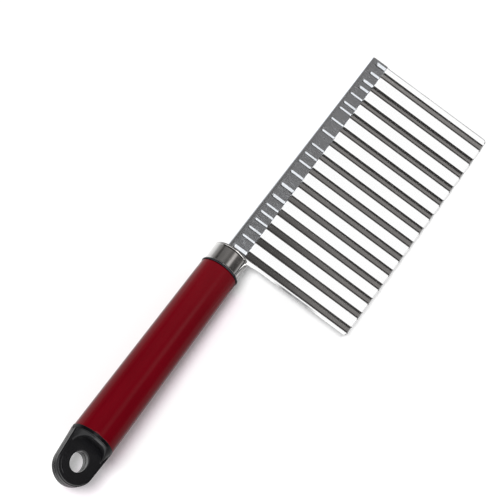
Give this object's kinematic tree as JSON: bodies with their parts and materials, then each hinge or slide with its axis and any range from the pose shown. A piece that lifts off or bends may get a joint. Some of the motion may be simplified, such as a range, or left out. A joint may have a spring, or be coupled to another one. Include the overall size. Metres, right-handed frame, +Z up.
{
  "type": "crinkle cutter",
  "caption": "Hand crinkle cutter with a corrugated rectangular steel blade held in a folded spine, a tapered tube handle with a steel ferrule, and a plastic cap with a hanging hole.",
  "frame": {"origin": "middle of the bounding box's footprint, on the surface that the tool lies on", "axes": "+X from the hanging cap towards the blade's far end, -Y towards the cutting edge, +Z up, with the tool lying on its side"},
  "size_m": [0.2001, 0.0578, 0.0201],
  "materials": {
    "blade_steel": "bright rolled stainless sheet",
    "spine_steel": "satin stainless sheet",
    "ferrule_steel": "polished",
    "inner_steel": "mill finish",
    "crimson_paint": "gloss enamel",
    "black_plastic": "moulded gloss"
  },
  "bodies": {
    "root": {"wave_blade": "blade_steel", "spine_channel": "spine_steel", "tang": "inner_steel", "tang_pin": "inner_steel", "ferrule": "ferrule_steel", "front_bush": "black_plastic", "handle_tube": "crimson_paint", "end_cap": "black_plastic"}
  },
  "joints": []
}
